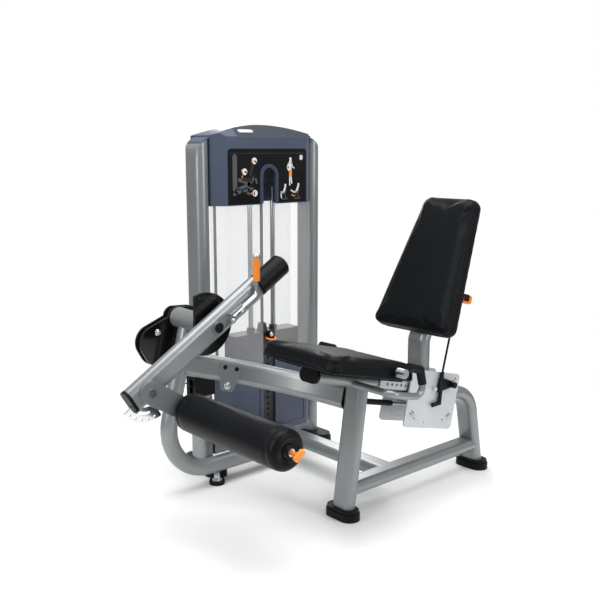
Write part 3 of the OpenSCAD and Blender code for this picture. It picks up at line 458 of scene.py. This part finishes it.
shape = bmesh.new()
for side in (-1, 1):
    ring = bmesh.ops.create_circle(shape, cap_ends=True, segments=48, radius=0.030)["verts"]
    for v in ring:
        v.co.y += 0.0225 if v.co.y > 1e-6 else -0.0225 if v.co.y < -1e-6 else 0.0
    bmesh.ops.translate(shape, vec=(tower_x + side * 0.291, tower_y, 1.268), verts=ring)
    top = bmesh.ops.extrude_face_region(shape, geom=list(ring[0].link_faces))["geom"]
    bmesh.ops.translate(shape, vec=(0, 0, 0.090), verts=corners_of(top))
for side in (-1, 1):
    for step in range(4, 90, 5):
        a = math.radians(step)
        out = Vector((side * math.cos(a), 0, math.sin(a)))
        co = Vector((tower_x + side * (outer - shoulder_r), tower_y, shoulder_z)) + out * shoulder_r
        near = [g for g in list(shape.verts) + list(shape.edges) + list(shape.faces)
                if (g.co if isinstance(g, bmesh.types.BMVert) else g.verts[0].co).x * side > tower_x * side]
        sliced = bmesh.ops.bisect_plane(shape, geom=near, plane_co=co, plane_no=out, clear_outer=True)["geom_cut"]
        bmesh.ops.holes_fill(shape, edges=[g for g in sliced if isinstance(g, bmesh.types.BMEdge)], sides=0)
bmesh.ops.recalc_face_normals(shape, faces=shape.faces)
shoulders = piece("column_shoulders", shape, frame_paint, "frame")
shoulders.data.set_sharp_from_angle(angle=math.radians(40))
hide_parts("column_caps")

# ---- Instruction panel ----
# Screen-printed drawings on the gloss panel: the machine with its three adjustments ringed in orange and
# white, a standing figure with the trained muscle marked, and the start and the end of the movement.
# The arched rim of the slot is the cap's own slate blue.
tree = panel.node_tree
spot = node(tree, "SeparateXYZ", {"Vector": node(tree, "TexCoord").outputs["Object"]})
across = node(tree, "Math", {0: spot.outputs["X"], 1: tower_x}, operation="SUBTRACT")
above = node(tree, "Math", {0: spot.outputs["Z"], 1: 1.197}, operation="SUBTRACT")
above = node(tree, "Math", {0: above.outputs[0], 1: 0.0}, operation="MAXIMUM")
round_slot = node(tree, "CombineXYZ", {"X": across.outputs[0], "Y": above.outputs[0]})
gap = node(tree, "VectorMath", {0: round_slot.outputs[0]}, operation="LENGTH")
rim = node(tree, "Math", {0: gap.outputs["Value"], 1: 0.0475}, operation="LESS_THAN")
shader = tree.nodes["Principled BSDF"]
dark_side = shader.inputs["Base Color"].links[0].from_socket
tree.links.new(mixed(tree, rim.outputs[0], dark_side, rgb(0.045, 0.058, 0.095)), shader.inputs["Base Color"])

white_ink = finish("white_ink", (0.72, 0.72, 0.72), (0.78, 0.78, 0.78), 0.45, 0.04, 20, 800, 0.03)
grey_ink = finish("grey_ink", (0.055, 0.057, 0.062), (0.070, 0.072, 0.078), 0.45, 0.04, 20, 800, 0.03)
orange_ink = finish("orange_ink", (0.80, 0.26, 0.02), (0.86, 0.30, 0.03), 0.45, 0.04, 20, 800, 0.03)
print_y = 0.6300


def stroke(shape, x0, z0, x1, z1, r, lift=0.0):
    """One printed stroke with round ends, in millimetres from the middle and the foot of the panel."""
    dots = []
    for y in (print_y + 0.0002, print_y - 0.0004 - lift):
        for x, z in ((x0, z0), (x1, z1)):
            place = Matrix.Translation((tower_x + x / 1000, y, 1.087 + z / 1000)) @ Matrix.Rotation(math.pi / 2, 4, "X")
            dots += bmesh.ops.create_circle(shape, segments=20, radius=r / 1000, matrix=place)["verts"]
    hull = bmesh.ops.convex_hull(shape, input=dots)
    loose = corners_of(hull["geom_interior"] + hull["geom_unused"])
    bmesh.ops.delete(shape, geom=[v for v in loose if v.is_valid], context="VERTS")


def drawing(name, skin, strokes, lift=0.0):
    shape = bmesh.new()
    for line in strokes:
        stroke(shape, *line, lift)
    return piece(name, shape, skin, "frame", smooth=False)


drawing("machine_drawing", grey_ink, [
    (-172, 62, -172, 186, 11), (-164, 52, -150, 52, 10), (-150, 62, -100, 78, 7), (-100, 78, -72, 108, 6),
    (-150, 96, -104, 84, 7), (-128, 52, -84, 62, 5), (-104, 84, -104, 56, 5), (-72, 108, -62, 84, 5),
    (-176, 40, -164, 46, 6), (-110, 44, -100, 40, 5)])
black_ink = finish("black_ink", (0.0015, 0.0015, 0.0015), (0.0025, 0.0025, 0.0025), 0.5, 0.04, 20, 800, 0.03)
drawing("pad_drawing", black_ink, [(-128, 98, -92, 96, 8), (-94, 116, -84, 152, 8)], 0.0002)
drawing("ring_marks_white", white_ink, [
    (-74, 170, -74, 170, 13), (-124, 128, -124, 128, 13), (-72, 42, -72, 42, 13)], 0.0002)
drawing("ring_marks_orange", orange_ink, [
    (-86, 176, -80, 162, 2.2), (-138, 134, -130, 120, 2.2), (-90, 42, -82, 42, 3.0),
    (-136, 112, -136, 106, 2.0)], 0.0005)
drawing("ring_marks_black", part["cam"].material_slots[0].material, [
    (-72, 170, -66, 164, 3.0), (-122, 128, -116, 126, 3.2), (-76, 36, -76, 48, 2.6)], 0.0005)
drawing("figures_white", white_ink, [
    (116, 176, 116, 176, 6.4), (116, 166, 114, 134, 7), (109, 160, 98, 142, 3), (98, 142, 106, 130, 2.6),
    (121, 160, 128, 142, 3), (128, 142, 136, 140, 2.4), (119, 104, 122, 78, 3), (112, 104, 112, 70, 2.8),
    (88, 70, 88, 70, 5), (87, 62, 78, 40, 4.4), (78, 40, 64, 42, 3.4), (64, 42, 66, 20, 2.8),
    (160, 72, 160, 72, 5), (158, 64, 148, 42, 4.4), (148, 42, 134, 40, 3.4), (134, 40, 120, 48, 2.8)], 0.0002)
drawing("figures_orange", orange_ink, [(119, 130, 119, 108, 3.6), (112, 130, 112, 108, 3.4),
                                       (124, 30, 132, 24, 2.4), (132, 24, 140, 26, 2.0)], 0.0005)
drawing("chairs_grey", grey_ink, [
    (92, 60, 84, 30, 2.2), (84, 30, 96, 14, 2.2), (70, 14, 98, 14, 2.4), (164, 60, 154, 30, 2.2),
    (154, 30, 168, 14, 2.2), (140, 14, 170, 14, 2.4), (-196, 200, 196, 200, 0.5)], 0.0002)
drawing("corner_mark", white_ink, [(172, 176, 172, 188, 4.4), (178, 176, 178, 188, 4.4)], 0.0001)

# ---- Blank badge ----
# A pill of brushed metal sits in the sloped recess at the front of the cap, where a maker would sign.
# The slope carries painted shade: a colour a shade darker than the brow below it, where the cap faces up.
shape = bmesh.new()
bmesh.ops.create_cube(shape, size=1)
bmesh.ops.scale(shape, vec=(0.074, 0.018, 0.0040), verts=shape.verts)
corners = [e for e in shape.edges if abs(e.verts[0].co.z - e.verts[1].co.z) > 0.001]
bmesh.ops.bevel(shape, geom=corners, offset=0.0085, segments=8, profile=0.5, affect="EDGES", material=-1)
rim_edges = [e for e in shape.edges if all(v.co.z > 0.001 for v in e.verts)]
bmesh.ops.bevel(shape, geom=rim_edges, offset=0.0007, segments=2, profile=0.5, affect="EDGES", material=-1)
slope = math.atan2(1.402 - 1.352, 0.692 - 0.633)
badge_place = Matrix.Translation((0.088, 0.6578, 1.3731)) @ Matrix.Rotation(slope, 4, "X")
bmesh.ops.transform(shape, matrix=badge_place, verts=shape.verts)
piece("blank_badge", shape, silver, "frame")
# Painted shade: the cap above z 1.3525 and right of x 0.030 (its upward slope) is mixed to a darker slate colour.
tree = slate.node_tree
spot = node(tree, "SeparateXYZ", {"Vector": node(tree, "TexCoord").outputs["Object"]})
high = node(tree, "Math", {0: spot.outputs["Z"], 1: 1.3525}, operation="GREATER_THAN")
inner = node(tree, "Math", {0: spot.outputs["X"], 1: 0.030}, operation="GREATER_THAN")
shaded_slope = node(tree, "Math", {0: high.outputs[0], 1: inner.outputs[0]}, operation="MULTIPLY")
shader = tree.nodes["Principled BSDF"]
plain = shader.inputs["Base Color"].links[0].from_socket
tree.links.new(mixed(tree, shaded_slope.outputs[0], plain, rgb(0.014, 0.020, 0.032)), shader.inputs["Base Color"])

# ---- Bolts, caps and tips ----
# The pivot ends in a domed black cap, and the lever ends in a plated tip above its orange grip. The bolt made
# here is a hexagon head on a washer, and is used wherever plates are bolted.
def bolt(shape, place, size):
    """Washer and hexagon head, size across the flats, standing on the face at place."""
    turned(shape, [(0.0, -0.001), (size * 0.95, -0.001), (size * 0.95, 0.0012), (size * 0.5, 0.0016), (0.0, 0.0016)],
           place, 32)
    head = bmesh.ops.create_circle(shape, cap_ends=True, segments=6, radius=size * 0.577)["verts"]
    bmesh.ops.translate(shape, vec=(0, 0, 0.0014), verts=head)
    cap = bmesh.ops.extrude_face_region(shape, geom=list(head[0].link_faces))["geom"]
    bmesh.ops.translate(shape, vec=(0, 0, size * 0.42), verts=corners_of(cap))
    verts = [v for v in shape.verts if v not in turned.done]
    bmesh.ops.transform(shape, matrix=place, verts=verts)
    bmesh.ops.recalc_face_normals(shape, faces=list({f for v in verts for f in v.link_faces}))
    turned.done.update(verts)


def facing(place, direction):
    """Place whose Z axis points along direction."""
    return Matrix.Translation(place) @ Vector(direction).to_track_quat("Z", "Y").to_matrix().to_4x4()


pivot_x, pivot_z = -0.285, 0.680
arm_frame = Matrix.Translation((pivot_x, 0, pivot_z)) @ Matrix.Rotation(math.radians(-31.5), 4, "Y")
shape = bmesh.new()
turned(shape, [(0, -0.002), (0.0188, -0.002), (0.0188, 0.0006), (0.0172, 0.0022), (0.010, 0.0032), (0, 0.0035)],
       facing((pivot_x, 0.342, pivot_z), (0, -1, 0)))
piece("pivot_end_cap", shape, moulded, "cam_body")
shape = bmesh.new()
tip = arm_frame @ Matrix.Translation((0.180, 0.338, 0.028)) @ Matrix.Rotation(math.radians(-58), 4, "Y")
tip = tip @ Matrix.Translation((0.118, 0, -0.028)) @ Matrix.Rotation(math.pi / 2, 4, "Y")
turned(shape, [(0, -0.002), (0.0118, -0.002), (0.0124, 0.0008), (0.0124, 0.010), (0.0108, 0.0135), (0.0065, 0.0145),
               (0.0062, 0.0135), (0, 0.0132)], tip)
piece("lever_tip", shape, steel, "range_lever")

# ---- Bolted joints ----
# Plated hexagon bolts where plates meet tubes: on the clevis, on the cam and on both sides of the carriage.
shape = bmesh.new()
bolt(shape, facing((-0.231, 0.3288, 0.7005), (0, -1, 0)), 0.011)
bolt(shape, facing((-0.190, 0.3288, 0.7275), (0, -1, 0)), 0.011)
piece("clevis_bolts", shape, steel, "arm")
shape = bmesh.new()
bolt(shape, facing((-0.372, 0.6098, 0.632), (0, -1, 0)), 0.013)
piece("cam_bolt", shape, chrome, "cam_body")
shape = bmesh.new()
for u, w in ((0.470, 0.110), (0.470, -0.030), (0.250, -0.030)):
    bolt(shape, seat_frame @ facing((u, -0.062, w), (0, -1, 0)), 0.012)
    bolt(shape, seat_frame @ facing((u, 0.062, w), (0, 1, 0)), 0.012)
piece("carriage_bolts", shape, steel, "backrest")

# ---- Pull knob of the shin link ----
# A short orange T-bar on a round stem; its spring pin runs inside the axle.
shape = bmesh.new()
knob_y = roller_lo.y
turned(shape, [(0, 0.0), (0.005, 0.0), (0.005, 0.060), (0.008, 0.060), (0.008, 0.085), (0.0105, 0.088),
               (0.0105, 0.096), (0, 0.096)], facing((roller_x, knob_y + 0.050, roller_z), (0, -1, 0)))
bar = Matrix.Translation((roller_x, knob_y - 0.042, roller_z)) @ Matrix.Rotation(math.radians(-35), 4, "Y")
bar = bar @ Matrix.Rotation(math.pi / 2, 4, "Y") @ Matrix.Translation((0, 0, -0.020))
turned(shape, [(0, 0), (0.0085, 0), (0.0108, 0.0022), (0.0110, 0.006), (0.0098, 0.020), (0.0110, 0.034),
               (0.0108, 0.0378), (0.0085, 0.040), (0, 0.040)], bar)
knob = piece("pull_knob", shape, signal, "knob")
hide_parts("shin_knob")

# ---- Selector pin ----
# A chrome pin with a black hub, carried by a flat orange loop that a finger hooks to pull it out.
pin_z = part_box("selector_pin")[0].z + 0.018
shape = bmesh.new()
turned(shape, [(0, -0.0315), (0.005, -0.0315), (0.005, 0.010), (0, 0.010)],
       facing((tower_x, 0.638, pin_z), (0, -1, 0)))
turned(shape, [(0, 0.012), (0.011, 0.012), (0.012, 0.014), (0.012, 0.020), (0.008, 0.023), (0, 0.0232)],
       facing((tower_x, 0.638, pin_z + 0.006), (0, -1, 0)))
piece("selector_stem", shape, chrome, "selector_pin")
shape = bmesh.new()
bmesh.ops.create_cube(shape, size=1)
bmesh.ops.scale(shape, vec=(0.030, 0.020, 0.034), verts=shape.verts)
bmesh.ops.bevel(shape, geom=list(shape.edges), offset=0.004, segments=3, profile=0.5, affect="EDGES", material=-1)
bmesh.ops.translate(shape, vec=(tower_x, 0.6265, pin_z + 0.004), verts=shape.verts)
piece("selector_hub", shape, moulded, "selector_pin")
shape = bmesh.new()
for v in turned(shape, [(0.014, -0.003), (0.021, -0.003), (0.023, 0), (0.021, 0.003), (0.014, 0.003), (0.0125, 0),
                        (0.014, -0.003)], Matrix.Identity(4)):
    v.co = Vector((tower_x + v.co.x * 1.05, 0.622 + v.co.y, pin_z - 0.012 + v.co.z + v.co.y * 0.15))
loop = piece("selector_loop", shape, signal, "selector_pin")
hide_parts("selector_pin")

# ---- Adjuster quadrant ----
# A plated quadrant under the foot of the arm, with a long slot and a row of holes, sets how far the shin
# link hangs forward. It is swept round the link's boss, then cut.
boss = Vector((-0.567, 0.380, 0.495))
shape = bmesh.new()
section = bmesh.ops.create_grid(shape, x_segments=1, y_segments=1, size=0.5)["verts"]
for v in section:
    v.co = boss + Vector((0.084 + v.co.x * 0.052, v.co.y * 0.006, 0))
bmesh.ops.rotate(shape, cent=boss, matrix=Matrix.Rotation(math.radians(-216), 3, "Y"), verts=shape.verts)
bmesh.ops.spin(shape, geom=list(shape.verts) + list(shape.edges) + list(shape.faces), cent=boss,
               axis=(0, -1, 0), angle=math.radians(84), steps=40)
bmesh.ops.recalc_face_normals(shape, faces=shape.faces)
quadrant = piece("adjuster_quadrant", shape, chrome, "arm", smooth=False)
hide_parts("adjuster_sector")
shape = bmesh.new()
for degrees in (226, 241, 256, 271, 286):
    a = math.radians(degrees)
    turned(shape, [(0, -0.01), (0.0050, -0.01), (0.0050, 0.01), (0, 0.01)],
           facing(boss + Vector((0.098 * math.cos(a), 0, 0.098 * math.sin(a))), (0, -1, 0)), 24)
slot_line = [(r * math.cos(math.radians(d)), r * math.sin(math.radians(d)))
             for r, run in ((0.084, range(222, 281, 4)), (0.072, range(280, 221, -4))) for d in run]
carved(quadrant, shape)
shape = bmesh.new()
slab(shape, [(boss.x + x, boss.z + z) for x, z in slot_line], 0.37, 0.39)
carved(quadrant, shape)

# ---- Stop bracket ----
# A silver-grey plate welded to the bend of the beam. Two black plugs close its upper holes, and a bolt in
# the lower one holds the arm stop.
bend_r, tube_half = 0.584, 0.025
plate_off = 0.0077  # from the side of the tube to the back of the plate
beam_spot = seat_frame @ Matrix.Translation((-bend_r, 0, 0)) @ Matrix.Rotation(math.radians(51), 4, "Z")
beam_spot = beam_spot @ Matrix.Translation((bend_r - tube_half - plate_off, 0, 0)) @ Matrix.Rotation(math.radians(90), 4, "Y")
shape = bmesh.new()
plate = shape.faces.new([shape.verts.new((x / 1000, y / 1000, 0)) for x, y in (
    (-30, -38), (-30, 38), (26, 34), (70, 26), (76, 20), (76, -16), (70, -22), (26, -34))])
rise = bmesh.ops.extrude_face_region(shape, geom=[plate])["geom"]
bmesh.ops.translate(shape, vec=(0, 0, 0.006), verts=corners_of(rise))
bmesh.ops.recalc_face_normals(shape, faces=shape.faces)
bmesh.ops.bevel(shape, geom=list(shape.edges), offset=0.001, segments=2, profile=0.5, affect="EDGES", material=-1)
bmesh.ops.transform(shape, matrix=beam_spot, verts=shape.verts)
bracket = piece("arm_stop_plate", shape, frame_paint, "frame", smooth=False)
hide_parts("stop_bracket")
shape = bmesh.new()
for y in (-0.022, 0.022):
    turned(shape, [(0, -0.002), (0.0078, -0.002), (0.0084, -0.0008), (0.0084, 0.001), (0, 0.001)],
           beam_spot @ Matrix.Translation((-0.012, y, 0)), 32)
piece("bracket_plugs", shape, moulded, "frame")
shape = bmesh.new()
bolt(shape, beam_spot @ Matrix.Translation((0.056, 0.002, 0)) @ Matrix.Rotation(math.pi, 4, "X"), 0.014)
piece("bracket_bolt", shape, steel, "frame")

# ---- Levelling foot ----
# A plated spindle with a flared collar turns in the J tube and stands in the rubber disc.
shape = bmesh.new()
turned(shape, [(0, 0.0142), (0.022, 0.0142), (0.019, 0.018), (0.0125, 0.024), (0.0112, 0.032), (0.0112, 0.049),
               (0, 0.049)], Matrix.Translation((-0.158, 0.549, 0)))
piece("levelling_spindle", shape, steel, "frame")

# ---- Press pad of the release lever ----
# A soft black pad is moulded over the orange paddle, on the side that the user's hand meets.
shape = bmesh.new()
bmesh.ops.create_cube(shape, size=1)
bmesh.ops.scale(shape, vec=(0.040, 0.046, 0.030), verts=shape.verts)
bmesh.ops.bevel(shape, geom=list(shape.edges), offset=0.007, segments=4, profile=0.5, affect="EDGES", material=-1)
pad_spot = Matrix.Translation((0.5535, -0.0765, 0.7465)) @ Matrix.Rotation(math.radians(14), 4, "Y")
bmesh.ops.transform(shape, matrix=pad_spot, verts=shape.verts)
piece("paddle_pad", shape, rubber, "release_lever")
